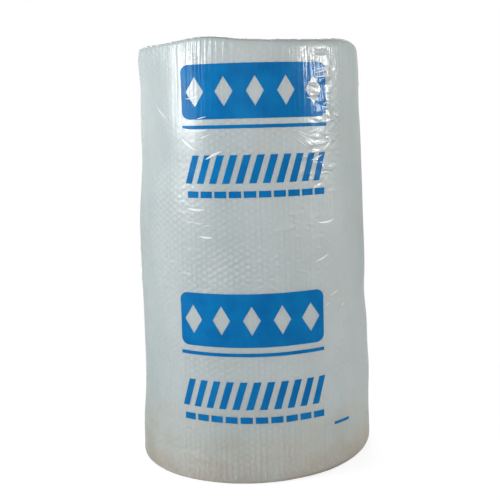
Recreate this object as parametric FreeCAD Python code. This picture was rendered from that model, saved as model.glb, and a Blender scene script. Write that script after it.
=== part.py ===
"""A large roll of bubble wrap standing on its end in a printed film sleeve.

The wound sheet is one solid: a drum that narrows a little towards its top, with a hollow along
its axis and its turns showing as a spiral in both ends. Upright ribs round its side stand for the
columns of bubbles. A thin film sleeve covers the side and folds in over both rims, gathered in
pleats on the upper one, and leaves a round opening in the middle of each end. Blue print stands on
the front of the sleeve as a thin coat of ink.

Millimetres, +Z up along the roll's axis, the printed front facing -Y. The origin is the middle
of the base, on the floor. Azimuths are degrees from the front, positive towards +X.
"""
import FreeCAD, Part
import math
import os

# Roll over its film, and how much its side has narrowed at even heights from base to top
total_height = 1500.0
base_radius = 430.0
side_narrowing = (0.0, 4.0, 10.0, 20.0, 32.0)
base_rim_rounding = 36.0
top_rim_rounding = 26.0
rim_slope = 46.0
end_face_dish = 10.0

# Film sleeve
film_thickness = 1.2
film_gap = 0.3
top_opening_radius = 190.0
base_opening_radius = 190.0
pleat_count = 28
pleat_height = 7.0
pleat_width = 27.0
pleat_length = 92.0
pleat_lean = 8.0

# Wound sheet
hollow_radius = 38.0
turn_pitch = 14.0
turn_depth = 7.0
turn_sink = 1.0
turns_under_film = 14.0

# Ribs that stand for the columns of bubbles up the sheet's side
rib_count = 120
rib_height = 7.0

# Print: two blocks, each a panel, a rule, slanted bars and dashes down from its top
ink_thickness = 1.2
print_width = 492.0
top_to_print = 72.0
print_repeat = 770.0
upper_print_azimuth = 2.5
lower_print_azimuth = -1.6
panel_height = 183.0
panel_corner = 26.0
panel_to_rule = 20.0
rule_height = 12.0
panel_to_bars = 120.0
bar_count = 11
bar_width = 25.0
bar_height = 95.0
bar_slant = 30.0
bars_to_dashes = 26.0
dash_count = 10
dash_height = 22.0
dash_share = 0.8

# Diamonds left bare in the panel
diamond_count = 5
diamond_width = 60.0
diamond_height = 100.0

# Short dash at the lower side of the print
register_azimuth = 44.0
register_height = 175.0
register_length = 78.0
register_thickness = 10.0
coat_half_angle = 60.0

middle = FreeCAD.Vector(0, 0, 0)
upwards = FreeCAD.Vector(0, 0, 1)


def in_section(radius, height):
    return FreeCAD.Vector(radius, 0, height)


def lines_through(points):
    return [Part.makeLine(start, end) for start, end in zip(points[:-1], points[1:])]


def quarter_arc(centre_radius, centre_height, radius, side):
    """Outer quarter of a rim, below its centre for side -1 and above it for side 1."""
    half = math.sqrt(0.5)
    flat = in_section(centre_radius, centre_height + side * radius)
    between = in_section(centre_radius + half * radius, centre_height + side * half * radius)
    outermost = in_section(centre_radius + radius, centre_height)
    ends = (flat, outermost) if side < 0 else (outermost, flat)
    return Part.Arc(ends[0], between, ends[1]).toShape()


def end_face_height():
    return total_height - end_face_dish


def side_corners(inset):
    """Corners of the side between its rims, inset evenly from the film's outside."""
    low, high = base_rim_rounding, total_height - top_rim_rounding
    rise = (high - low) / (len(side_narrowing) - 1)
    return [
        in_section(base_radius - narrowing - inset, low + number * rise)
        for number, narrowing in enumerate(side_narrowing)
    ]


def half_outline(inset, base_start, top_end):
    """Edges of the roll's outline, inset evenly, from a radius on its base to one on its top."""
    side = side_corners(inset)
    foot_radius = base_radius - base_rim_rounding
    crest_radius = base_radius - side_narrowing[-1] - top_rim_rounding
    crest_height, face_height = total_height - inset, end_face_height() - inset
    base = [in_section(base_start, inset), in_section(foot_radius, inset)]
    top = [
        in_section(crest_radius, crest_height),
        in_section(crest_radius - rim_slope, face_height),
        in_section(top_end, face_height),
    ]
    base_rim = quarter_arc(foot_radius, base_rim_rounding, base_rim_rounding - inset, -1)
    top_rim = quarter_arc(crest_radius, total_height - top_rim_rounding, top_rim_rounding - inset, 1)
    return lines_through(base) + [base_rim] + lines_through(side) + [top_rim] + lines_through(top)


def turned(edges, centre=middle, axis=upwards, degrees=360):
    section = Part.Face(Part.Wire(Part.__sortEdges__(edges)))
    return section.revolve(centre, axis, degrees)


def turn_grooves(first_radius, outer_radius, face_height, outward):
    """What is cut from an end for its turns: two half rings of V grooves about two centres.

    The second centre lies half a turn's pitch from the first, so that each half groove meets the
    next one and the turns run on as a spiral.
    """
    count = int((outer_radius - first_radius) / turn_pitch)
    over, crest, root = (face_height + outward * depth for depth in (film_gap, -turn_sink, -turn_depth))
    halves = []
    for centre_x, axis in ((0.0, upwards), (turn_pitch / 2.0, -upwards)):
        start = first_radius + 2.0 * centre_x
        points = [in_section(start, over)]
        for number in range(count):
            ridge = start + number * turn_pitch
            points += [in_section(ridge, crest), in_section(ridge + turn_pitch / 2.0, root)]
        end = start + count * turn_pitch
        points += [in_section(end, crest), in_section(end, over), points[0]]
        halves.append(turned(lines_through(points), in_section(centre_x, 0), axis, 180))
    return halves


def rim_middle(centre_radius, centre_height, radius, side):
    """Point halfway round the outer quarter of a rim."""
    reach = math.sqrt(0.5) * radius
    return in_section(centre_radius + reach, centre_height + side * reach)


def ribbed_ring(level, share):
    """Closed outline round the sheet at a level, with its ribs at a share of their height."""
    points = []
    for number in range(2 * rib_count):
        radius = level.x - share * rib_height * (number % 2)
        angle = math.pi * number / rib_count
        points.append(FreeCAD.Vector(radius * math.sin(angle), -radius * math.cos(angle), level.z))
    return Part.makePolygon(points + points[:1])


def ribbed_drum(inset):
    """The wound sheet without its hollow: columns of bubbles stand as ribs from rim to rim."""
    foot_radius = base_radius - base_rim_rounding
    crest_radius = base_radius - side_narrowing[-1] - top_rim_rounding
    low_rim = rim_middle(foot_radius, base_rim_rounding, base_rim_rounding - inset, -1)
    high_rim = rim_middle(crest_radius, total_height - top_rim_rounding, top_rim_rounding - inset, 1)
    rings = [ribbed_ring(in_section(foot_radius, inset), 0.0), ribbed_ring(low_rim, 0.5)]
    rings += [ribbed_ring(corner, 1.0) for corner in side_corners(inset)]
    rings.append(ribbed_ring(high_rim, 0.5))
    rings.append(ribbed_ring(in_section(crest_radius, total_height - inset), 0.0))
    rings.append(ribbed_ring(in_section(crest_radius - rim_slope, end_face_height() - inset), 0.0))
    return Part.makeLoft(rings, True, True)


def bubble_roll():
    """The wound sheet, with its ribs of bubbles and the spiral of its turns in both ends."""
    inset = film_thickness + film_gap
    low, high = inset, end_face_height() - inset
    hollow = Part.makeCylinder(hollow_radius, total_height)
    first = hollow_radius + turn_pitch / 2.0
    base_turns = turn_grooves(first, base_opening_radius + turns_under_film, low, -1)
    top_turns = turn_grooves(first, top_opening_radius + turns_under_film, high, 1)
    return ribbed_drum(inset).cut([hollow] + base_turns + top_turns)


def pleat(azimuth):
    """One knife pleat of gathered film, highest at the opening and running out towards the rim."""
    foot = end_face_height() - film_thickness / 2.0
    inner = top_opening_radius + film_gap
    near = FreeCAD.Vector(inner, -pleat_width / 2.0, foot)
    far = FreeCAD.Vector(inner, pleat_width / 2.0, foot)
    peak = FreeCAD.Vector(inner, pleat_lean, end_face_height() + pleat_height)
    tip = FreeCAD.Vector(inner + pleat_length, 0, foot)
    sides = ((near, far, peak), (near, tip, far), (near, peak, tip), (far, tip, peak))
    faces = [Part.Face(Part.makePolygon(corners + corners[:1])) for corners in sides]
    solid = Part.makeSolid(Part.makeShell(faces))
    if solid.Volume < 0:
        solid.reverse()
    solid.rotate(middle, upwards, azimuth)
    return solid


def film_sleeve():
    """Thin sleeve round the roll, folded over both rims, with an opening in each end."""
    face_height = end_face_height()
    outside = half_outline(0.0, base_opening_radius, top_opening_radius)
    inside = half_outline(film_thickness, base_opening_radius, top_opening_radius)
    base_hem = [in_section(base_opening_radius, height) for height in (0, film_thickness)]
    top_hem = [in_section(top_opening_radius, face_height - depth) for depth in (0, film_thickness)]
    sleeve = turned(outside + inside + lines_through(base_hem) + lines_through(top_hem))
    return sleeve.fuse([pleat(360.0 * number / pleat_count) for number in range(pleat_count)])


def ink_coat():
    """Front part of a thin layer on the sleeve's side, which the print is cut from."""
    inside, outside = side_corners(0.0), side_corners(-ink_thickness)
    section = Part.Face(Part.makePolygon(inside + outside[::-1] + inside[:1]))
    section.rotate(middle, upwards, -90 - coat_half_angle)
    return section.revolve(middle, upwards, 2 * coat_half_angle)


def polygon(corners):
    points = [in_section(x, z) for x, z in corners]
    return Part.Face(Part.makePolygon(points + points[:1]))


def rectangle(centre_x, centre_z, width, height):
    left, right = centre_x - width / 2.0, centre_x + width / 2.0
    low, high = centre_z - height / 2.0, centre_z + height / 2.0
    return polygon(((left, low), (right, low), (right, high), (left, high)))


def through_front(face, azimuth, height):
    """Pushes a flat outline out through the roll's side at an azimuth and a height."""
    start = face.copy()
    start.translate(FreeCAD.Vector(0, -base_radius - 2 * panel_corner, height))
    prism = start.extrude(FreeCAD.Vector(0, base_radius, 0))
    prism.rotate(middle, upwards, azimuth)
    return prism


def print_span():
    """Width of the print as an angle round the roll."""
    return 2.0 * math.degrees(math.asin(print_width / 2.0 / base_radius))


def row_azimuths(count):
    """Azimuths of evenly spaced things across the print."""
    step = print_span() / count
    return [(number - (count - 1) / 2.0) * step for number in range(count)]


def panel():
    """Solid blue field with rounded corners and a row of diamonds left bare."""
    width, height = print_width - 2 * panel_corner, panel_height - 2 * panel_corner
    field = rectangle(0, 0, width, height).makeOffset2D(panel_corner)
    side, point = diamond_width / 2.0, diamond_height / 2.0
    diamond = polygon(((-side, 0), (0, -point), (side, 0), (0, point)))
    return through_front(field, 0, 0).cut([through_front(diamond, at, 0) for at in row_azimuths(diamond_count)])


def print_block(top, azimuth, coat):
    """One repeat of the print: panel, rule, slanted bars and dashes, each a thin piece of ink."""
    field = panel()
    field.translate(FreeCAD.Vector(0, 0, top - panel_height / 2.0))
    rule_top = top - panel_height - panel_to_rule
    rule = rectangle(0, -rule_height / 2.0, print_width, rule_height)
    bars_top = top - panel_height - panel_to_bars
    half_width, half_slant = bar_width / 2.0, bar_slant / 2.0
    foot = ((-half_slant - half_width, -bar_height), (half_width - half_slant, -bar_height))
    head = ((half_slant + half_width, 0), (half_slant - half_width, 0))
    bar = polygon(foot + head)
    dashes_top = bars_top - bar_height - bars_to_dashes
    dash_length = dash_share * base_radius * math.radians(print_span()) / dash_count
    dash = rectangle(0, -dash_height / 2.0, dash_length, dash_height)
    prisms = [field, through_front(rule, 0, rule_top)]
    prisms += [through_front(bar, place, bars_top) for place in row_azimuths(bar_count)]
    prisms += [through_front(dash, place, dashes_top) for place in row_azimuths(dash_count)]
    block = inked(prisms, coat)
    block.rotate(middle, upwards, azimuth)
    return block


def inked(prisms, coat):
    return Part.makeCompound([solid for prism in prisms for solid in coat.common(prism).Solids])


def main():
    os.makedirs("parts", exist_ok=True)
    coat = ink_coat()
    print_top = total_height - top_to_print
    register = rectangle(0, 0, register_length, register_thickness)
    pieces = {
        "bubble_roll": bubble_roll(),
        "film_sleeve": film_sleeve(),
        "upper_print": print_block(print_top, upper_print_azimuth, coat),
        "lower_print": print_block(print_top - print_repeat, lower_print_azimuth, coat),
        "register_mark": inked([through_front(register, register_azimuth, register_height)], coat),
    }
    for name, shape in pieces.items():
        shape.exportStep("parts/" + name + ".step")
        print(name, len(shape.Solids), "solids, valid", shape.isValid(), "litres", round(shape.Volume / 1e6, 3))


main()
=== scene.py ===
import math
import random

import bpy
from mathutils import Matrix, Vector, noise
from mathutils.geometry import delaunay_2d_cdt


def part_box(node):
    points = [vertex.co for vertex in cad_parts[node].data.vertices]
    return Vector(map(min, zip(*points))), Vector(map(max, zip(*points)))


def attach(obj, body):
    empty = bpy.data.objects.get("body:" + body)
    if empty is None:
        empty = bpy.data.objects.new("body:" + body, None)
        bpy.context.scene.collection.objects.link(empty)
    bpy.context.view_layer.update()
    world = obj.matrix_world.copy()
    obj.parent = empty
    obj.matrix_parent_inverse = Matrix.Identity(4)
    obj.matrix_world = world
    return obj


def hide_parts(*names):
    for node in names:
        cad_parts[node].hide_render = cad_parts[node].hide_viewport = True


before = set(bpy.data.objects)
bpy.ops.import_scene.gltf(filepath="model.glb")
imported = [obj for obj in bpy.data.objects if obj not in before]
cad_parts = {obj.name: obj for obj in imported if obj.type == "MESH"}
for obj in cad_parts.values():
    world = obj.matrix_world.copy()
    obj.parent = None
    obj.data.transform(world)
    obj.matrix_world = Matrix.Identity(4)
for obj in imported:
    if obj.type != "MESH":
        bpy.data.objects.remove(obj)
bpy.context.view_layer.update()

sleeve_low, sleeve_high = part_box("film_sleeve")
base_radius, total_height = sleeve_high[0], sleeve_high[2]

# Side and rims of the roll over its film
side_narrowing = (0.0, 0.004, 0.010, 0.020, 0.032)
base_rounding_least = 0.008
base_rounding_more = 0.048
base_rounding_azimuth = 133.0
top_rounding = 0.024
top_rounding_swing = 0.013
rim_slope = 0.046
rim_tilt = 0.007
rim_humps = ((-40.0, 0.011, 42.0), (-21.0, 0.014, 14.0), (62.0, 0.008, 22.0), (-86.0, 0.010, 20.0))
end_face_dish = 0.010
opening_radius = 0.190
tail_azimuth = 16.0
tail_step = 0.0016
tail_run = 60.0

# Swells (+) and hollows (-) of the side: azimuth, height, depth, reach in height and in degrees
side_swells = (
    (-90.0, 1.090, -0.0045, 0.090, 50.0),
    (-90.0, 0.860, 0.0050, 0.130, 50.0),
    (-90.0, 0.380, -0.0055, 0.140, 50.0),
    (-90.0, 0.120, 0.0050, 0.070, 45.0),
    (-45.0, 0.020, 0.0150, 0.080, 42.0),
    (-90.0, 1.462, 0.0110, 0.058, 36.0),
    (90.0, 1.400, 0.0050, 0.090, 45.0),
    (90.0, 0.590, -0.0045, 0.070, 45.0),
    (90.0, 0.300, 0.0060, 0.080, 45.0),
)

# Film: its grid, its relief and where it is most crinkled (azimuth, height, reaches, strength)
film_columns = 372
base_rows, base_rim_rows, side_rows, top_rim_rows, slope_rows, end_rows = 5, 9, 206, 10, 8, 20
buckle_size = 0.17
buckle_depth = 0.0034
gather_width = 0.013
gather_depth = 0.0016
top_gather_reach = 0.075
base_gather_reach = 0.120
crinkle_depth = 0.0011
crinkled_places = (
    (34.0, 1.42, 15.0, 0.10, 0.95),
    (38.0, 1.22, 9.0, 0.14, 0.75),
    (33.0, 1.06, 13.0, 0.08, 0.80),
    (-24.0, 1.46, 9.0, 0.03, 0.60),
    (-31.0, 1.36, 14.0, 0.08, 0.25),
    (-30.0, 1.05, 12.0, 0.20, 0.20),
    (150.0, 1.30, 20.0, 0.16, 0.80),
    (-140.0, 0.90, 16.0, 0.20, 0.70),
    (115.0, 0.40, 14.0, 0.14, 0.60),
)
# Where the bubbles show most through the film (azimuth, height, reaches, strength)
clear_places = (
    (-15.0, 0.73, 13.0, 0.08, 0.95),
    (-20.0, 0.86, 8.0, 0.05, 0.15),
    (-20.0, 0.42, 13.0, 0.05, 0.60),
    (36.0, 0.60, 10.0, 0.07, 0.40),
)
pleat_count = 28
pleat_height = 0.009
pleat_length = 0.092

# Bubbles of the outer turn, and the turns in the ends
bubble_columns = 136
bubble_rise = 0.0223
bubble_radius = 0.0098
bubble_height = 0.0075
bubble_sides = 7
film_to_bubbles = 0.0016
film_to_roll = 0.0016
hollow_radius = 0.038
turn_pitch = 0.014
turn_depth = 0.007
turn_count = 23
samples_per_turn = 8
turn_steps = 300

# Print
ink_lift = 0.0006
ink_cell = 0.007
print_width = 0.492
print_top = total_height - 0.072
print_repeat = 0.770
print_azimuths = {"upper_print": 2.5, "lower_print": -1.6}
panel_height = 0.183
panel_corner = 0.026
panel_to_rule = 0.020
rule_height = 0.012
panel_to_bars = 0.120
bar_count = 11
bar_width = 0.025
bar_height = 0.095
bar_slant = 0.030
bars_to_dashes = 0.026
dash_count = 10
dash_height = 0.022
dash_share = 0.8
diamond_count = 5
diamond_width = 0.060
diamond_height = 0.100
register_azimuth = 44.0
register_height = 0.175
register_length = 0.078
register_thickness = 0.010

# Folds that stand up in the film: azimuth and height of the start, middle and end, then their width
front_folds = (
    ((-31.5, 0.947), (-27.5, 0.936), (-22.5, 0.943), 0.0095),
    ((-25.6, 0.852), (-22.4, 0.846), (-19.0, 0.848), 0.0085),
    ((-33.5, 0.905), (-30.0, 0.896), (-26.5, 0.897), 0.0030),
    ((-29.0, 0.898), (-25.5, 0.892), (-23.0, 0.896), 0.0028),
    ((-23.0, 0.889), (-21.0, 0.886), (-19.0, 0.890), 0.0028),
    ((-34.9, 1.184), (-31.8, 1.158), (-26.2, 1.140), 0.0125),
    ((-21.8, 1.111), (-18.3, 1.125), (-13.5, 1.138), 0.0095),
    ((-35.0, 1.217), (-28.5, 1.200), (-20.5, 1.211), 0.0130),
    ((-25.2, 1.180), (-22.0, 1.188), (-18.8, 1.196), 0.0050),
    ((-26.2, 1.247), (-24.0, 1.250), (-21.4, 1.254), 0.0050),
    ((-32.6, 1.316), (-28.5, 1.312), (-24.0, 1.318), 0.0055),
    ((-53.2, 1.299), (-49.1, 1.266), (-43.9, 1.248), 0.0040),
    ((31.5, 0.888), (38.2, 0.879), (41.8, 0.892), 0.0085),
    ((29.5, 0.754), (33.8, 0.757), (37.9, 0.777), 0.0065),
    ((37.5, 0.626), (40.5, 0.633), (43.6, 0.645), 0.0035),
    ((35.2, 0.596), (36.6, 0.601), (37.9, 0.608), 0.0030),
    ((45.4, 0.583), (47.0, 0.587), (48.5, 0.593), 0.0025),
    ((36.2, 1.128), (39.5, 1.143), (42.3, 1.164), 0.0095),
    ((29.5, 1.099), (32.8, 1.105), (36.0, 1.116), 0.0080),
    ((28.4, 1.181), (31.4, 1.183), (34.8, 1.190), 0.0085),
    ((31.0, 1.165), (34.2, 1.163), (37.8, 1.167), 0.0080),
    ((22.6, 1.200), (26.0, 1.189), (29.6, 1.180), 0.0050),
    ((21.2, 1.175), (25.2, 1.156), (29.3, 1.138), 0.0045),
    ((23.2, 1.191), (28.2, 1.170), (33.0, 1.149), 0.0050),
    ((33.4, 1.391), (38.0, 1.396), (42.6, 1.409), 0.0060),
    ((34.6, 1.380), (39.4, 1.379), (44.4, 1.386), 0.0060),
    ((33.6, 1.405), (39.0, 1.406), (44.8, 1.417), 0.0045),
    ((28.0, 1.311), (30.3, 1.306), (32.8, 1.307), 0.0050),
    ((28.8, 1.344), (31.2, 1.339), (33.8, 1.341), 0.0050),
    ((29.2, 1.362), (31.0, 1.359), (33.0, 1.361), 0.0040),
    ((36.6, 1.281), (38.8, 1.275), (41.2, 1.276), 0.0060),
)
scattered_folds = 46


def clamp(value, low=0.0, high=1.0):
    return min(max(value, low), high)


def smooth(low, high, value):
    share = clamp((value - low) / (high - low))
    return share * share * (3.0 - 2.0 * share)


def bell(distance, reach):
    return math.exp(-((distance / reach) ** 2))


def turn_between(azimuth, other):
    """Signed difference of two azimuths, from -180 to 180."""
    return (azimuth - other + 180.0) % 360.0 - 180.0


def along(values, share):
    """Smooth curve through evenly spaced values, at a share of its length."""
    place = clamp(share) * (len(values) - 1)
    low = min(int(place), len(values) - 2)
    here, there = values[low], values[low + 1]
    slope_here = (there - values[max(low - 1, 0)]) / 2.0
    slope_there = (values[min(low + 2, len(values) - 1)] - here) / 2.0
    t = place - low
    from_here = here * (2 * t**3 - 3 * t**2 + 1) + slope_here * (t**3 - 2 * t**2 + t)
    return from_here + there * (3 * t**2 - 2 * t**3) + slope_there * (t**3 - t**2)


def around(radius, azimuth, height):
    angle = math.radians(azimuth)
    return Vector((radius * math.sin(angle), -radius * math.cos(angle), height))


def side_radius(azimuth, height):
    """Radius of the film's smooth outside, with its swells and the step at the sheet's tail."""
    radius = base_radius - along(side_narrowing, height / total_height)
    for at, at_height, depth, reach, spread in side_swells:
        radius += depth * bell(height - at_height, reach) * bell(turn_between(azimuth, at), spread)
    behind_tail = turn_between(tail_azimuth, azimuth)
    return radius + tail_step * smooth(-1.0, 1.0, behind_tail) * (1.0 - smooth(0.0, tail_run, behind_tail))


def base_rounding(azimuth):
    swing = math.cos(math.radians(azimuth - base_rounding_azimuth))
    return base_rounding_least + base_rounding_more * (1.0 + swing) / 2.0


def upper_rounding(azimuth):
    return top_rounding + top_rounding_swing * math.sin(math.radians(azimuth))


def crest_height(azimuth):
    humps = sum(rise * bell(turn_between(azimuth, at), reach) for at, rise, reach in rim_humps)
    return total_height + humps + rim_tilt * math.sin(math.radians(azimuth))


def end_face():
    return total_height - end_face_dish


def stations():
    """Places along the film's outline, from the base opening's edge to the top one's."""
    counts = (
        ("base", base_rows),
        ("base_rim", base_rim_rows),
        ("side", side_rows),
        ("top_rim", top_rim_rows),
        ("slope", slope_rows),
        ("end", end_rows),
    )
    places = [(part, row / rows) for part, rows in counts for row in range(rows)]
    return places + [("end", 1.0)]


def outline(azimuth, part, share):
    """Radius, height and outward direction of the smooth skin at a place along its outline."""
    low, high, crest = base_rounding(azimuth), upper_rounding(azimuth), crest_height(azimuth)
    turn = share * math.pi / 2.0
    if part == "side":
        height = low + (crest - high - low) * share
        return side_radius(azimuth, height), height, 1.0, 0.0
    if part in ("base", "base_rim"):
        foot = side_radius(azimuth, low) - low
        if part == "base":
            return opening_radius + (foot - opening_radius) * share, 0.0, 0.0, -1.0
        across, down = math.sin(turn), math.cos(turn)
        return foot + low * across, low - low * down, across, -down
    crest_radius = side_radius(azimuth, crest - high) - high
    if part == "top_rim":
        across, up = math.cos(turn), math.sin(turn)
        return crest_radius + high * across, crest - high + high * up, across, up
    if part == "slope":
        fall = (1.0 + math.cos(math.pi * share)) / 2.0
        return crest_radius - rim_slope * share, end_face() + (crest - end_face()) * fall, 0.0, 1.0
    foot = crest_radius - rim_slope
    return foot + (opening_radius - foot) * share, end_face(), 0.0, 1.0


def crinkled(azimuth, height):
    """How crinkled the film is at a place, from 0 to 1."""
    point = around(base_radius, azimuth, height)
    amount = 0.10 + 0.30 * smooth(0.05, 0.5, noise.noise(point / 0.28))
    for at, at_height, spread, reach, strength in crinkled_places:
        amount += strength * bell(turn_between(azimuth, at), spread) * bell(height - at_height, reach)
    return clamp(amount)


def bubbled(azimuth, height):
    """How clearly the bubbles show through the film at a place, from 0 to 1."""
    point = around(base_radius, azimuth, height)
    amount = 0.06 + 0.14 * smooth(0.0, 0.45, noise.noise(point / 0.23 + Vector((4.0, 9.0, 2.0))))
    for at, at_height, spread, reach, strength in clear_places:
        amount += strength * bell(turn_between(azimuth, at), spread) * bell(height - at_height, reach)
    return clamp(amount)


def gathered(height):
    """How much the film is gathered at a height, most at both rims."""
    from_top = max(total_height - height, 0.0)
    return clamp(math.exp(-from_top / top_gather_reach) + 0.5 * math.exp(-height / base_gather_reach))


def side_relief(azimuth, height):
    """How far the film's side stands out from its smooth skin: buckles, gathers and crinkles."""
    point = around(base_radius, azimuth, height)
    relief = buckle_depth * noise.noise(point / buckle_size)
    gather = noise.noise(Vector((point.x / gather_width, point.y / gather_width, height / 0.30)))
    relief += gather_depth * gather * (gathered(height) + 0.12)
    warp = noise.noise_vector(point / 0.05) * 0.5
    fine = Vector((point.x / 0.045, point.y / 0.045, height / 0.018 + point.x / 0.07)) + warp
    ridge = 0.5 - 2.0 * abs(noise.noise(fine))
    return relief + crinkle_depth * ridge * crinkled(azimuth, height)


def pleat_relief(azimuth, inward):
    """Height of the knife pleats round the top opening, at a distance out from its edge."""
    place = azimuth / 360.0 * pleat_count + 0.20 * noise.noise(around(4.0, azimuth, 0.0))
    across = place - math.floor(place)
    lean = 0.72
    rise = across / lean if across < lean else (1.0 - across) / (1.0 - lean)
    run_out = clamp(1.0 - inward / pleat_length)
    wander = 0.75 + 0.5 * noise.noise(Vector((math.floor(place) * 1.7, 3.1, 0.0)))
    return pleat_height * rise**1.5 * run_out * wander


def film_point(azimuth, part, share, lift=0.0):
    """Point of the creased film."""
    radius, height, across, up = outline(azimuth, part, share)
    if part == "base":
        relief = 0.0
    elif part in ("side", "base_rim", "top_rim"):
        relief = side_relief(azimuth, height)
        if part == "base_rim":
            relief *= share
    else:
        at_edge = radius - opening_radius
        relief = side_relief(azimuth, total_height) * smooth(0.06, 0.17, at_edge)
        relief += pleat_relief(azimuth, at_edge)
        relief += 0.0012 * noise.noise(around(radius, azimuth, 0.0) / 0.03)
    relief += lift
    return around(radius + relief * across, azimuth, max(height + relief * up, 0.0003))


def side_point(azimuth, height, lift=0.0):
    """Point over the creased side at a height, for what lies on the film."""
    radius = side_radius(azimuth, height) + side_relief(azimuth, height) + lift
    return around(radius, azimuth, height)


def make_piece(name, points, faces, material, smooth_faces=True):
    mesh = bpy.data.meshes.new(name)
    mesh.from_pydata([tuple(point) for point in points], [], faces)
    mesh.update()
    if smooth_faces:
        mesh.shade_smooth()
    piece = bpy.data.objects.new(name, mesh)
    bpy.context.collection.objects.link(piece)
    mesh.materials.append(material)
    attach(piece, "root")
    return piece


def ring_faces(rows, columns, first=0):
    """Quads between rows of points that each go once round the roll."""
    faces = []
    for row in range(rows - 1):
        here, above = first + row * columns, first + (row + 1) * columns
        for column in range(columns):
            beside = (column + 1) % columns
            faces.append((here + column, here + beside, above + beside, above + column))
    return faces


def mark_relief(piece):
    """Notes for a piece's material how crinkled, gathered and clear the film is at each point."""
    crinkles = piece.data.attributes.new("crinkled", "FLOAT", "POINT")
    gathers = piece.data.attributes.new("gathered", "FLOAT", "POINT")
    bubbles = piece.data.attributes.new("bubbled", "FLOAT", "POINT")
    for number, vertex in enumerate(piece.data.vertices):
        x, y, z = vertex.co
        azimuth = math.degrees(math.atan2(x, -y))
        crinkles.data[number].value = crinkled(azimuth, z)
        gathers.data[number].value = gathered(z)
        bubbles.data[number].value = bubbled(azimuth, z)


def make_film(material):
    """The film sleeve, from its base opening over the side to its gathered top opening."""
    places = stations()
    azimuths = [360.0 * column / film_columns for column in range(film_columns)]
    points = [film_point(azimuth, part, share) for part, share in places for azimuth in azimuths]
    film = make_piece("film", points, ring_faces(len(places), film_columns), material)
    mark_relief(film)
    # The 'crest' mask: 1 along the top rim's crest, where the film's colour gets painted shade.
    crest = film.data.attributes.new("crest", "FLOAT", "POINT")
    for number, (part, share) in enumerate(places):
        near = {"top_rim": smooth(0.35, 0.8, share), "slope": 1.0 - smooth(0.1, 0.7, share)}
        for vertex in range(number * film_columns, (number + 1) * film_columns):
            crest.data[vertex].value = near.get(part, 0.0)
    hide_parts("film_sleeve")
    return film


def fold_strip(start, middle, end, width, first):
    """One fold that stands up from the film along a bent line, tapering to nothing at both ends."""
    steps, across = 14, (-1.0, -0.45, 0.0, 0.45, 1.0)
    heights = (0.0, 0.12, 0.20, 0.10, 0.0)
    points, faces = [], []
    for step in range(steps + 1):
        t = step / steps
        a, b, c = (1 - t) ** 2, 2 * t * (1 - t), t**2
        azimuth = a * start[0] + b * middle[0] + c * end[0]
        height = a * start[1] + b * middle[1] + c * end[1]
        run_azimuth = 2 * (1 - t) * (middle[0] - start[0]) + 2 * t * (end[0] - middle[0])
        run_height = 2 * (1 - t) * (middle[1] - start[1]) + 2 * t * (end[1] - middle[1])
        run_arc = math.radians(run_azimuth) * base_radius
        length = math.hypot(run_arc, run_height)
        full = math.sin(math.pi * (0.06 + 0.88 * t))
        for place, rise in zip(across, heights):
            shift = place * width / 2.0 * full
            side_azimuth = azimuth - math.degrees(shift * run_height / length / base_radius)
            side_height = height + shift * run_arc / length
            lift = -0.0006 if rise == 0.0 else 0.0015 + rise * width * full
            points.append(side_point(side_azimuth, side_height, lift))
    row = len(across)
    for step in range(steps):
        for place in range(row - 1):
            corner = first + step * row + place
            faces.append((corner, corner + 1, corner + row + 1, corner + row))
    return points, faces


def make_folds(material):
    """Small folds of the film: those of the front, and scattered ones round the rest of the roll."""
    chance = random.Random(11)
    folds = list(front_folds)
    for _ in range(scattered_folds):
        azimuth = chance.uniform(72.0, 280.0)
        height = chance.uniform(0.15, 1.40)
        reach, rise = chance.uniform(3.0, 8.0), chance.uniform(-0.03, 0.03)
        bend = chance.uniform(-0.012, 0.012)
        end = (azimuth + reach, height + rise)
        middle = (azimuth + reach / 2.0, height + rise / 2.0 + bend)
        folds.append(((azimuth, height), middle, end, chance.uniform(0.0022, 0.0050)))
    points, faces = [], []
    for start, middle, end, width in folds:
        more_points, more_faces = fold_strip(start, middle, end, width, len(points))
        points += more_points
        faces += more_faces
    return make_piece("film_folds", points, faces, material)


def make_bubbles(material):
    """The outer turn's bubbles, in staggered columns up the side."""
    points, faces = [], []
    rings = ((bubble_radius, 0.0), (0.84 * bubble_radius, 0.82 * bubble_height))
    corners = [2 * math.pi * side / bubble_sides for side in range(bubble_sides)]
    for column in range(bubble_columns):
        azimuth = 360.0 * column / bubble_columns
        shift = bubble_rise / 2.0 * (column % 2)
        lowest = math.ceil((base_rounding(azimuth) * 0.8 + 0.012 - shift) / bubble_rise)
        highest = int((crest_height(azimuth) - upper_rounding(azimuth) * 0.9 - 0.008 - shift) / bubble_rise)
        for row in range(lowest, highest + 1):
            height = shift + row * bubble_rise
            web = side_radius(azimuth, height) + side_relief(azimuth, height) - film_to_bubbles - bubble_height
            centre, out = around(web, azimuth, height), around(1.0, azimuth, 0.0)
            beside = around(1.0, azimuth + 90.0, 0.0)
            first = len(points)
            for radius, rise in rings:
                for corner in corners:
                    step = beside * (radius * math.cos(corner)) + Vector((0, 0, radius * math.sin(corner)))
                    points.append(centre + step + out * rise)
            points.append(centre + out * bubble_height)
            apex = first + 2 * bubble_sides
            for side in range(bubble_sides):
                beyond = (side + 1) % bubble_sides
                inner = first + bubble_sides
                faces.append((first + side, first + beyond, inner + beyond, inner + side))
                faces.append((inner + side, inner + beyond, apex))
    return make_piece("outer_bubbles", points, faces, material)


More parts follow.
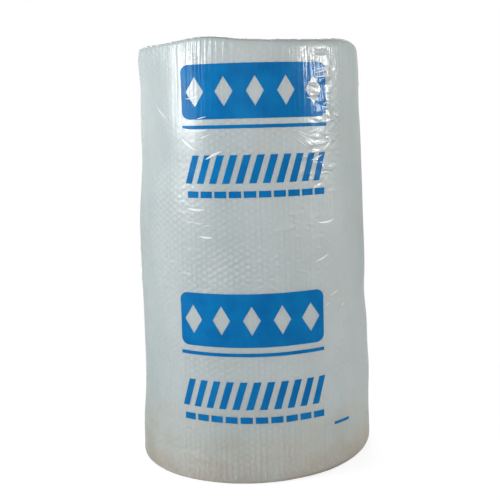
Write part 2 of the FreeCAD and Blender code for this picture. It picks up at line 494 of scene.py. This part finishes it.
def make_core(material):
    """The web that the bubbles stand on, its rims, and the wall of the hollow."""
    columns, side_steps = 120, 40
    azimuths = [360.0 * column / columns for column in range(columns)]
    under = film_to_bubbles + bubble_height - 0.0005
    rows = []
    for part, share in [("base", 0.85), ("base", 1.0)] + [("base_rim", k / 6) for k in range(1, 6)]:
        rows.append([(part, share, film_to_roll)] * columns)
    for step in range(side_steps + 1):
        rows.append([("side", step / side_steps, under)] * columns)
    for part, share in [("top_rim", k / 6) for k in range(1, 7)] + [("slope", 0.5), ("slope", 1.0), ("end", 0.2)]:
        rows.append([(part, share, film_to_roll)] * columns)
    points = []
    for row in rows:
        for azimuth, (part, share, inset) in zip(azimuths, row):
            radius, height, across, up = outline(azimuth, part, share)
            points.append(around(radius - inset * across, azimuth, height - inset * up))
    faces = ring_faces(len(rows), columns)
    first = len(points)
    for height in (film_to_roll, end_face() - film_to_roll):
        points += [around(hollow_radius, azimuth, height) for azimuth in azimuths]
    faces += [face[::-1] for face in ring_faces(2, columns, first)]
    core = make_piece("sheet_core", points, faces, material)
    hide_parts("bubble_roll")
    return core


def turn_profile(across, along_turn, radius):
    """Depth of a turn's edge below the end face, across its thickness and along the sheet."""
    ridge = math.sin(math.pi * across) ** 0.7
    lump = 0.5 + 0.5 * math.cos(2 * math.pi * along_turn / bubble_rise)
    fade = 1.0 - smooth(0.22, 0.27, radius)
    return turn_depth * (1.0 - ridge * (1.0 - 0.45 * lump * fade))


def make_turns(name, material, upward):
    """The turns of the wound sheet as they show in one end: a spiral of lumpy ridges."""
    points, faces = [], []
    rows = turn_count * samples_per_turn
    for row in range(rows + 1):
        for step in range(turn_steps):
            azimuth = 360.0 * step / turn_steps
            radius = hollow_radius + turn_pitch * (row / samples_per_turn + azimuth / 360.0)
            across = (row % samples_per_turn) / samples_per_turn
            along_turn = math.radians(azimuth) * radius + math.pi * radius * radius / turn_pitch
            depth = turn_profile(across, along_turn, radius)
            if upward:
                crest = side_radius(azimuth, total_height) - upper_rounding(azimuth)
                share = clamp((crest - radius) / rim_slope)
                surface = outline(azimuth, "slope", share)[1] - film_to_roll - 0.0015
                points.append(around(radius, azimuth, surface - depth))
            else:
                points.append(around(radius, azimuth, film_to_roll + depth))
    def index(row, step):
        return row * turn_steps + step if step < turn_steps else (row + samples_per_turn) * turn_steps
    for row in range(rows):
        for step in range(turn_steps):
            if step == turn_steps - 1 and row + 1 + samples_per_turn > rows:
                continue
            face = (index(row, step), index(row, step + 1), index(row + 1, step + 1), index(row + 1, step))
            faces.append(face[::-1] if upward else face)
    return make_piece(name, points, faces, material)


def rounded_rectangle(width, height, corner):
    points = []
    for right, up, start in ((1, 1, 0), (-1, 1, 90), (-1, -1, 180), (1, -1, 270)):
        for step in range(7):
            angle = math.radians(start + 15.0 * step)
            x = right * (width / 2.0 - corner) + corner * math.cos(angle)
            points.append((x, up * (height / 2.0 - corner) + corner * math.sin(angle)))
    return points


def rectangle(width, height):
    x, z = width / 2.0, height / 2.0
    return [(-x, -z), (x, -z), (x, z), (-x, z)]


def slanted_bar():
    half, slant, z = bar_width / 2.0, bar_slant / 2.0, bar_height / 2.0
    return [(-slant - half, -z), (half - slant, -z), (slant + half, z), (slant - half, z)]


def diamond(centre):
    x, z = diamond_width / 2.0, diamond_height / 2.0
    return [(centre - x, 0.0), (centre, -z), (centre + x, 0.0), (centre, z)]


def inside(shape, point):
    """Whether a point lies in a closed outline."""
    x, z = point
    found = False
    for (ax, az), (bx, bz) in zip(shape, shape[1:] + shape[:1]):
        if (az > z) != (bz > z) and x < ax + (z - az) / (bz - az) * (bx - ax):
            found = not found
    return found


def divided(shape):
    """A closed outline with its sides cut into short runs."""
    points = []
    for (ax, az), (bx, bz) in zip(shape, shape[1:] + shape[:1]):
        runs = max(1, round(math.hypot(bx - ax, bz - az) / ink_cell))
        points += [(ax + (bx - ax) * k / runs, az + (bz - az) * k / runs) for k in range(runs)]
    return points


def near_outline(shape, point, distance):
    return any(math.hypot(point[0] - x, point[1] - z) < distance for x, z in shape)


def flat_triangles(shape, holes):
    """Points and triangles of a flat outline with holes, fine enough to follow the film."""
    loops = [divided(loop) for loop in [shape] + holes]
    points, edges = [], []
    for loop in loops:
        first = len(points)
        points += [Vector(point) for point in loop]
        edges += [(first + k, first + (k + 1) % len(loop)) for k in range(len(loop))]
    rim = [tuple(point) for point in points]
    lowest, highest = min(z for _, z in shape), max(z for _, z in shape)
    left, right = min(x for x, _ in shape), max(x for x, _ in shape)
    for row in range(1, int((highest - lowest) / ink_cell) + 1):
        for column in range(1, int((right - left) / ink_cell) + 1):
            place = (left + (column - 0.5 * (row % 2)) * ink_cell, lowest + row * ink_cell)
            if inside(shape, place) and not near_outline(rim, place, 0.6 * ink_cell):
                points.append(Vector(place))
    flat, _, triangles, _, _, _ = delaunay_2d_cdt(points, edges, [], 1, 1e-7)
    kept = []
    for triangle in triangles:
        middle = sum((flat[corner] for corner in triangle), Vector((0.0, 0.0))) / 3.0
        if inside(shape, middle) and not any(inside(hole, middle) for hole in holes):
            kept.append(list(triangle))
    return flat, kept


def lay_ink(name, shapes, material):
    """Thin ink on the creased film: shapes are (outline, holes, azimuth, height of its middle)."""
    points, faces = [], []
    for shape, holes, place, middle in shapes:
        flat, triangles = flat_triangles(shape, holes)
        top = len(points)
        for x, z in flat:
            height = middle + z
            azimuth = place + math.degrees(math.asin(x / side_radius(place, height)))
            points.append(side_point(azimuth, height, ink_lift))
        faces += [tuple(top + corner for corner in triangle) for triangle in triangles]
        sides = {}
        for triangle in triangles:
            for k in range(3):
                edge = (triangle[k], triangle[(k + 1) % 3])
                sides[tuple(sorted(edge))] = None if tuple(sorted(edge)) in sides else edge
        for edge in (edge for edge in sides.values() if edge):
            corners = [points[top + corner] for corner in edge]
            first = len(points)
            for corner in corners:
                inward = Vector((corner.x, corner.y, 0.0)).normalized() * (2.0 * ink_lift)
                points.append(corner - inward)
            faces.append((top + edge[1], top + edge[0], first, first + 1))
    piece = make_piece(name + "_ink", points, faces, material)
    mark_relief(piece)
    piece.data.set_sharp_from_angle(angle=math.radians(50))
    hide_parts(name)
    return piece


def print_span():
    return 2.0 * math.degrees(math.asin(print_width / 2.0 / base_radius))


def row_azimuths(count):
    step = print_span() / count
    return [(number - (count - 1) / 2.0) * step for number in range(count)]


def print_shapes(top, azimuth):
    """The shapes of one block of print, down from its top."""
    centres = [base_radius * math.sin(math.radians(at)) for at in row_azimuths(diamond_count)]
    panel = rounded_rectangle(print_width, panel_height, panel_corner)
    shapes = [(panel, [diamond(centre) for centre in centres], azimuth, top - panel_height / 2.0)]
    rule_middle = top - panel_height - panel_to_rule - rule_height / 2.0
    shapes.append((rectangle(print_width, rule_height), [], azimuth, rule_middle))
    bars_top = top - panel_height - panel_to_bars
    for at in row_azimuths(bar_count):
        shapes.append((slanted_bar(), [], azimuth + at, bars_top - bar_height / 2.0))
    dashes_top = bars_top - bar_height - bars_to_dashes
    dash_length = dash_share * base_radius * math.radians(print_span()) / dash_count
    for at in row_azimuths(dash_count):
        dash = rectangle(dash_length, dash_height)
        shapes.append((dash, [], azimuth + at, dashes_top - dash_height / 2.0))
    return shapes


def make_print(material):
    for number, (name, azimuth) in enumerate(print_azimuths.items()):
        lay_ink(name, print_shapes(print_top - number * print_repeat, azimuth), material)
    register = rectangle(register_length, register_thickness)
    lay_ink("register_mark", [(register, [], register_azimuth, register_height)], material)


def new_material(name):
    material = bpy.data.materials.new(name)
    material.use_nodes = True
    nodes = material.node_tree.nodes
    return material, nodes, material.node_tree.links, nodes["Principled BSDF"]


def object_noise(nodes, links, scale, detail, stretch=(1.0, 1.0, 1.0)):
    place = nodes.new("ShaderNodeTexCoord")
    mapping = nodes.new("ShaderNodeMapping")
    mapping.inputs["Scale"].default_value = stretch
    texture = nodes.new("ShaderNodeTexNoise")
    texture.inputs["Scale"].default_value = scale
    texture.inputs["Detail"].default_value = detail
    links.new(place.outputs["Object"], mapping.inputs["Vector"])
    links.new(mapping.outputs["Vector"], texture.inputs["Vector"])
    return texture.outputs["Fac"]


def ramp(nodes, links, value, stops):
    node = nodes.new("ShaderNodeValToRGB")
    elements = node.color_ramp.elements
    for number, (place, colour) in enumerate(stops):
        element = elements[number] if number < 2 else elements.new(place)
        element.position = place
        element.color = (*colour, 1.0)
    links.new(value, node.inputs["Fac"])
    return node.outputs["Color"]


def height_share(nodes, links, low, high):
    """0 at one height of the roll and 1 at another."""
    place = nodes.new("ShaderNodeTexCoord")
    split = nodes.new("ShaderNodeSeparateXYZ")
    span = nodes.new("ShaderNodeMapRange")
    span.inputs["From Min"].default_value = low
    span.inputs["From Max"].default_value = high
    links.new(place.outputs["Object"], split.inputs["Vector"])
    links.new(split.outputs["Z"], span.inputs["Value"])
    return span.outputs["Result"]


def mixed_colour(nodes, links, share, first, second, mode="MIX"):
    mix = nodes.new("ShaderNodeMix")
    mix.data_type = "RGBA"
    mix.blend_type = mode
    for socket, value in ((mix.inputs["Factor"], share), (mix.inputs["A"], first), (mix.inputs["B"], second)):
        if isinstance(value, bpy.types.NodeSocket):
            links.new(value, socket)
        else:
            socket.default_value = value
    return mix.outputs["Result"]


def bubble_pattern(nodes, links):
    """Height of the film over the bubbles under it, 1 over the middle of each."""
    place = nodes.new("ShaderNodeTexCoord")
    split = nodes.new("ShaderNodeSeparateXYZ")
    links.new(place.outputs["Object"], split.inputs["Vector"])
    angle = maths(nodes, links, "ARCTAN2", split.outputs["X"], maths(nodes, links, "MULTIPLY", split.outputs["Y"], -1.0))
    across = maths(nodes, links, "COSINE", maths(nodes, links, "MULTIPLY", angle, bubble_columns / 2.0))
    up = maths(nodes, links, "MULTIPLY", split.outputs["Z"], 2.0 * math.pi / bubble_rise)
    return maths(nodes, links, "MULTIPLY", across, maths(nodes, links, "COSINE", up))


def maths(nodes, links, operation, first, second=0.0):
    node = nodes.new("ShaderNodeMath")
    node.operation = operation
    for socket, value in zip(node.inputs, (first, second)):
        if isinstance(value, bpy.types.NodeSocket):
            links.new(value, socket)
        else:
            socket.default_value = value
    return node.outputs["Value"]


def scaled(nodes, links, value, low, high, from_low=0.0, from_high=1.0):
    node = nodes.new("ShaderNodeMapRange")
    node.inputs["From Min"].default_value = from_low
    node.inputs["From Max"].default_value = from_high
    node.inputs["To Min"].default_value = low
    node.inputs["To Max"].default_value = high
    links.new(value, node.inputs["Value"])
    return node.outputs["Result"]


def attribute(nodes, name):
    node = nodes.new("ShaderNodeAttribute")
    node.attribute_name = name
    return node.outputs["Fac"]


def bumped(nodes, links, height, distance, strength, normal=None):
    node = nodes.new("ShaderNodeBump")
    node.inputs["Distance"].default_value = distance
    if isinstance(strength, bpy.types.NodeSocket):
        links.new(strength, node.inputs["Strength"])
    else:
        node.inputs["Strength"].default_value = strength
    links.new(height, node.inputs["Height"])
    if normal is not None:
        links.new(normal, node.inputs["Normal"])
    return node.outputs["Normal"]


def crumple(nodes, links, scale, stretch):
    """Facets with sharp creases between them, as in crumpled film."""
    place = nodes.new("ShaderNodeTexCoord")
    mapping = nodes.new("ShaderNodeMapping")
    mapping.inputs["Scale"].default_value = stretch
    creases = nodes.new("ShaderNodeTexNoise")
    creases.noise_type = "RIDGED_MULTIFRACTAL"
    creases.inputs["Scale"].default_value = scale
    creases.inputs["Detail"].default_value = 3.0
    creases.inputs["Distortion"].default_value = 0.6
    links.new(place.outputs["Object"], mapping.inputs["Vector"])
    links.new(mapping.outputs["Vector"], creases.inputs["Vector"])
    return creases.outputs["Fac"]


def film_normal(nodes, links, crease_depth=0.0110, bubble_relief=0.0008):
    """Fine relief of the film: gathers, the bubbles under it and, where it is crinkled, facets."""
    gathers = object_noise(nodes, links, 75.0, 2.0, (1.0, 1.0, 0.05))
    normal = bumped(nodes, links, gathers, 0.0070, scaled(nodes, links, attribute(nodes, "gathered"), 0.20, 1.0))
    clear = attribute(nodes, "bubbled")
    normal = bumped(nodes, links, bubble_pattern(nodes, links), bubble_relief, clear, normal)
    amount = scaled(nodes, links, attribute(nodes, "crinkled"), 0.01, 1.0, 0.20, 0.9)
    return bumped(nodes, links, crumple(nodes, links, 18.0, (0.8, 0.8, 1.7)), crease_depth, amount, normal)


def film_material():
    """Clear glossy film that has gone milky over the bubbles, with painted warm shade near the floor, painted
    shade along the top rim's crest and painted glints where it is crinkled.
    """
    material, nodes, links, shader = new_material("clear_film")
    cloud = object_noise(nodes, links, 3.0, 3.0, (1.0, 1.0, 0.35))
    cool = ramp(nodes, links, cloud, ((0.3, (0.53, 0.592, 0.588)), (0.7, (0.70, 0.743, 0.736))))
    uneven = scaled(nodes, links, object_noise(nodes, links, 9.0, 3.0, (1.0, 1.0, 2.0)), -0.35, 0.35, 0.2, 0.8)
    # Painted warm shade near the floor: the colour darkens and warms from about 0.3 m down to the floor, with a
    # noisy upper edge.
    lift = maths(nodes, links, "ADD", height_share(nodes, links, 0.0, 0.30), uneven)
    stops = ((0.0, (0.97, 0.76, 0.62)), (0.40, (1.0, 0.91, 0.81)), (0.95, (1.0, 1.0, 1.0)))
    colour = mixed_colour(nodes, links, 1.0, cool, ramp(nodes, links, lift, stops), "MULTIPLY")
    # Painted shade along the top rim's crest, laid on through the 'crest' mask.
    painted_crest_shade = (0.62, 0.58, 0.54, 1.0)
    crest_shaded_colour = mixed_colour(nodes, links, 1.0, colour, painted_crest_shade, "MULTIPLY")
    colour = mixed_colour(nodes, links, attribute(nodes, "crest"), colour, crest_shaded_colour)
    # Painted glints: near-white flecks laid into the colour where the film is crinkled.
    whiter = scaled(nodes, links, crumple(nodes, links, 30.0, (0.7, 0.7, 1.9)), 0.0, 1.0, 0.45, 1.0)
    painted_glints = maths(nodes, links, "MULTIPLY", whiter, scaled(nodes, links, attribute(nodes, "crinkled"), 0.0, 1.0, 0.3, 0.9))
    links.new(mixed_colour(nodes, links, painted_glints, colour, (0.95, 0.95, 0.93, 1.0)), shader.inputs["Base Color"])
    shader.inputs["Alpha"].default_value = 0.62
    shader.inputs["IOR"].default_value = 1.60
    dull = object_noise(nodes, links, 26.0, 3.0, (1.0, 1.0, 0.5))
    links.new(scaled(nodes, links, dull, 0.28, 0.42), shader.inputs["Roughness"])
    slanted = nodes.new("ShaderNodeLayerWeight")
    slanted.inputs["Blend"].default_value = 0.5
    facing = slanted.outputs["Facing"]
    links.new(scaled(nodes, links, facing, 1.0, 0.1, 0.15, 0.65), shader.inputs["Specular IOR Level"])
    square_on = scaled(nodes, links, facing, 1.0, 0.0, 0.10, 0.65)
    sharp = scaled(nodes, links, attribute(nodes, "crinkled"), 0.30, 1.0, 0.15, 0.60)
    links.new(maths(nodes, links, "MULTIPLY", square_on, sharp), shader.inputs["Coat Weight"])
    shader.inputs["Coat Roughness"].default_value = 0.12
    normal = film_normal(nodes, links)
    links.new(normal, shader.inputs["Normal"])
    links.new(normal, shader.inputs["Coat Normal"])
    return material


def fold_material():
    """The same film where it is doubled over, so whiter and without the view through, and made near white as
    painted highlight for the glints the folds catch.
    """
    material, nodes, links, shader = new_material("folded_film")
    cloud = object_noise(nodes, links, 40.0, 2.0)
    colour = ramp(nodes, links, cloud, ((0.3, (0.82, 0.84, 0.84)), (0.7, (0.90, 0.91, 0.91))))
    links.new(colour, shader.inputs["Base Color"])
    shader.inputs["Roughness"].default_value = 0.22
    shader.inputs["Specular IOR Level"].default_value = 0.9
    return material


def wrap_material(name, dull, bright):
    """Milky polythene of the bubble sheet, between two shades."""
    material, nodes, links, shader = new_material(name)
    cloud = object_noise(nodes, links, 9.0, 3.0)
    colour = ramp(nodes, links, cloud, ((0.3, dull), (0.7, bright)))
    links.new(colour, shader.inputs["Base Color"])
    shader.inputs["Roughness"].default_value = 0.25
    shader.inputs["Specular IOR Level"].default_value = 0.4
    return material


def ink_material():
    """Blue ink, a little uneven, under the gloss of the film."""
    material, nodes, links, shader = new_material("blue_ink")
    cloud = object_noise(nodes, links, 14.0, 4.0)
    colour = ramp(nodes, links, cloud, ((0.3, (0.001, 0.132, 0.375)), (0.7, (0.002, 0.182, 0.455))))
    links.new(colour, shader.inputs["Base Color"])
    shader.inputs["Roughness"].default_value = 0.30
    shader.inputs["Specular IOR Level"].default_value = 0.08
    amount = attribute(nodes, "crinkled")
    links.new(scaled(nodes, links, amount, 0.02, 0.45, 0.25, 0.9), shader.inputs["Coat Weight"])
    shader.inputs["Coat Roughness"].default_value = 0.16
    normal = film_normal(nodes, links, 0.0035, 0.0001)
    links.new(normal, shader.inputs["Normal"])
    links.new(normal, shader.inputs["Coat Normal"])
    return material


def make_floor():
    """White floor that keeps the roll's shadow close to it and is plain white further off."""
    mesh = bpy.data.meshes.new("floor")
    reach = 30.0
    mesh.from_pydata([(-reach, -reach, 0), (reach, -reach, 0), (reach, reach, 0), (-reach, reach, 0)], [], [(0, 1, 2, 3)])
    floor = bpy.data.objects.new("floor", mesh)
    bpy.context.collection.objects.link(floor)
    material = bpy.data.materials.new("floor")
    material.use_nodes = True
    nodes, links = material.node_tree.nodes, material.node_tree.links
    nodes.clear()
    output = nodes.new("ShaderNodeOutputMaterial")
    plain = nodes.new("ShaderNodeBsdfDiffuse")
    plain.inputs["Color"].default_value = (0.80, 0.80, 0.80, 1.0)
    near = nodes.new("ShaderNodeBsdfDiffuse")
    near.inputs["Color"].default_value = (0.30, 0.30, 0.30, 1.0)
    glow = nodes.new("ShaderNodeEmission")
    glow.inputs["Strength"].default_value = 0.80
    shadowed = nodes.new("ShaderNodeAddShader")
    white = nodes.new("ShaderNodeEmission")
    place = nodes.new("ShaderNodeTexCoord")
    distance = nodes.new("ShaderNodeVectorMath")
    distance.operation = "LENGTH"
    far = nodes.new("ShaderNodeMapRange")
    far.interpolation_type = "SMOOTHSTEP"
    far.inputs["From Min"].default_value = 0.55
    far.inputs["From Max"].default_value = 1.60
    seen = nodes.new("ShaderNodeMixShader")
    rays = nodes.new("ShaderNodeLightPath")
    both = nodes.new("ShaderNodeMixShader")
    links.new(place.outputs["Object"], distance.inputs[0])
    links.new(distance.outputs["Value"], far.inputs["Value"])
    links.new(near.outputs["BSDF"], shadowed.inputs[0])
    links.new(glow.outputs["Emission"], shadowed.inputs[1])
    links.new(far.outputs["Result"], seen.inputs["Fac"])
    links.new(shadowed.outputs["Shader"], seen.inputs[1])
    links.new(white.outputs["Emission"], seen.inputs[2])
    links.new(rays.outputs["Is Camera Ray"], both.inputs["Fac"])
    links.new(plain.outputs["BSDF"], both.inputs[1])
    links.new(seen.outputs["Shader"], both.inputs[2])
    links.new(both.outputs["Shader"], output.inputs["Surface"])
    mesh.materials.append(material)


def make_world():
    """Soft even light, and plain white where the camera or a reflection sees past the roll."""
    world = bpy.data.worlds.new("studio")
    bpy.context.scene.world = world
    world.use_nodes = True
    nodes, links = world.node_tree.nodes, world.node_tree.links
    nodes.clear()
    rays = nodes.new("ShaderNodeLightPath")
    either = nodes.new("ShaderNodeMath")
    either.operation = "MAXIMUM"
    any_of = nodes.new("ShaderNodeMath")
    any_of.operation = "MAXIMUM"
    soft = nodes.new("ShaderNodeBackground")
    soft.inputs["Color"].default_value = (0.93, 0.97, 1.0, 1.0)
    soft.inputs["Strength"].default_value = 0.34
    white = nodes.new("ShaderNodeBackground")
    white.inputs["Color"].default_value = (1.0, 1.0, 1.0, 1.0)
    mix = nodes.new("ShaderNodeMixShader")
    output = nodes.new("ShaderNodeOutputWorld")
    links.new(rays.outputs["Is Camera Ray"], either.inputs[0])
    links.new(rays.outputs["Is Glossy Ray"], either.inputs[1])
    links.new(either.outputs["Value"], any_of.inputs[0])
    links.new(rays.outputs["Is Transmission Ray"], any_of.inputs[1])
    links.new(any_of.outputs["Value"], mix.inputs["Fac"])
    links.new(soft.outputs["Background"], mix.inputs[1])
    links.new(white.outputs["Background"], mix.inputs[2])
    links.new(mix.outputs["Shader"], output.inputs["Surface"])


def make_light(name, azimuth, distance, height, aim_height, size, watts, colour, mirrored=True):
    """Soft box at an azimuth from the roll's front, turned towards its axis."""
    data = bpy.data.lights.new(name, "AREA")
    data.shape = "RECTANGLE"
    data.size, data.size_y = size
    data.energy = watts
    data.color = colour
    light = bpy.data.objects.new(name, data)
    bpy.context.collection.objects.link(light)
    light.location = around(distance, azimuth, height)
    aim = Vector((0.0, 0.0, aim_height)) - light.location
    light.rotation_euler = aim.to_track_quat("-Z", "Y").to_euler()
    light.visible_glossy = mirrored


def make_camera():
    """Camera at the photograph's height and angle."""
    data = bpy.data.cameras.new("camera")
    data.lens = 65.16
    data.sensor_width = 36.0
    data.shift_y = -0.08
    camera = bpy.data.objects.new("camera", data)
    bpy.context.collection.objects.link(camera)
    down, roll = math.radians(6.05), math.radians(1.46)
    turned = Matrix.Rotation(math.pi / 2.0 - down, 4, "X") @ Matrix.Rotation(-roll, 4, "Z")
    camera.matrix_world = Matrix.Translation((-0.0086, -3.411, 1.259)) @ turned
    bpy.context.scene.camera = camera


def main():
    noise.seed_set(5)
    bubble_skin = wrap_material("bubbles", (0.62, 0.68, 0.68), (0.76, 0.80, 0.80))
    web_skin = wrap_material("bubble_sheet", (0.42, 0.48, 0.49), (0.55, 0.61, 0.62))
    make_camera()
    make_film(film_material())
    make_folds(fold_material())
    make_bubbles(bubble_skin)
    make_core(web_skin)
    make_turns("top_turns", bubble_skin, True)
    make_turns("base_turns", bubble_skin, False)
    make_print(ink_material())
    make_floor()
    make_world()
    make_light("left_box", -66.0, 2.6, 1.80, 1.30, (0.85, 1.10), 42.0, (0.94, 0.98, 1.0))
    make_light("right_box", 69.0, 2.6, 1.66, 1.35, (0.48, 0.46), 20.0, (1.0, 0.99, 0.95))
    make_light("front_fill", 0.0, 3.8, 1.80, 0.75, (2.4, 1.4), 32.0, (0.98, 0.99, 1.0), mirrored=False)
    make_light("back_fill", 180.0, 3.8, 2.20, 0.75, (2.4, 1.4), 75.0, (0.98, 0.99, 1.0))
    bpy.context.scene.view_settings.view_transform = "Standard"


main()
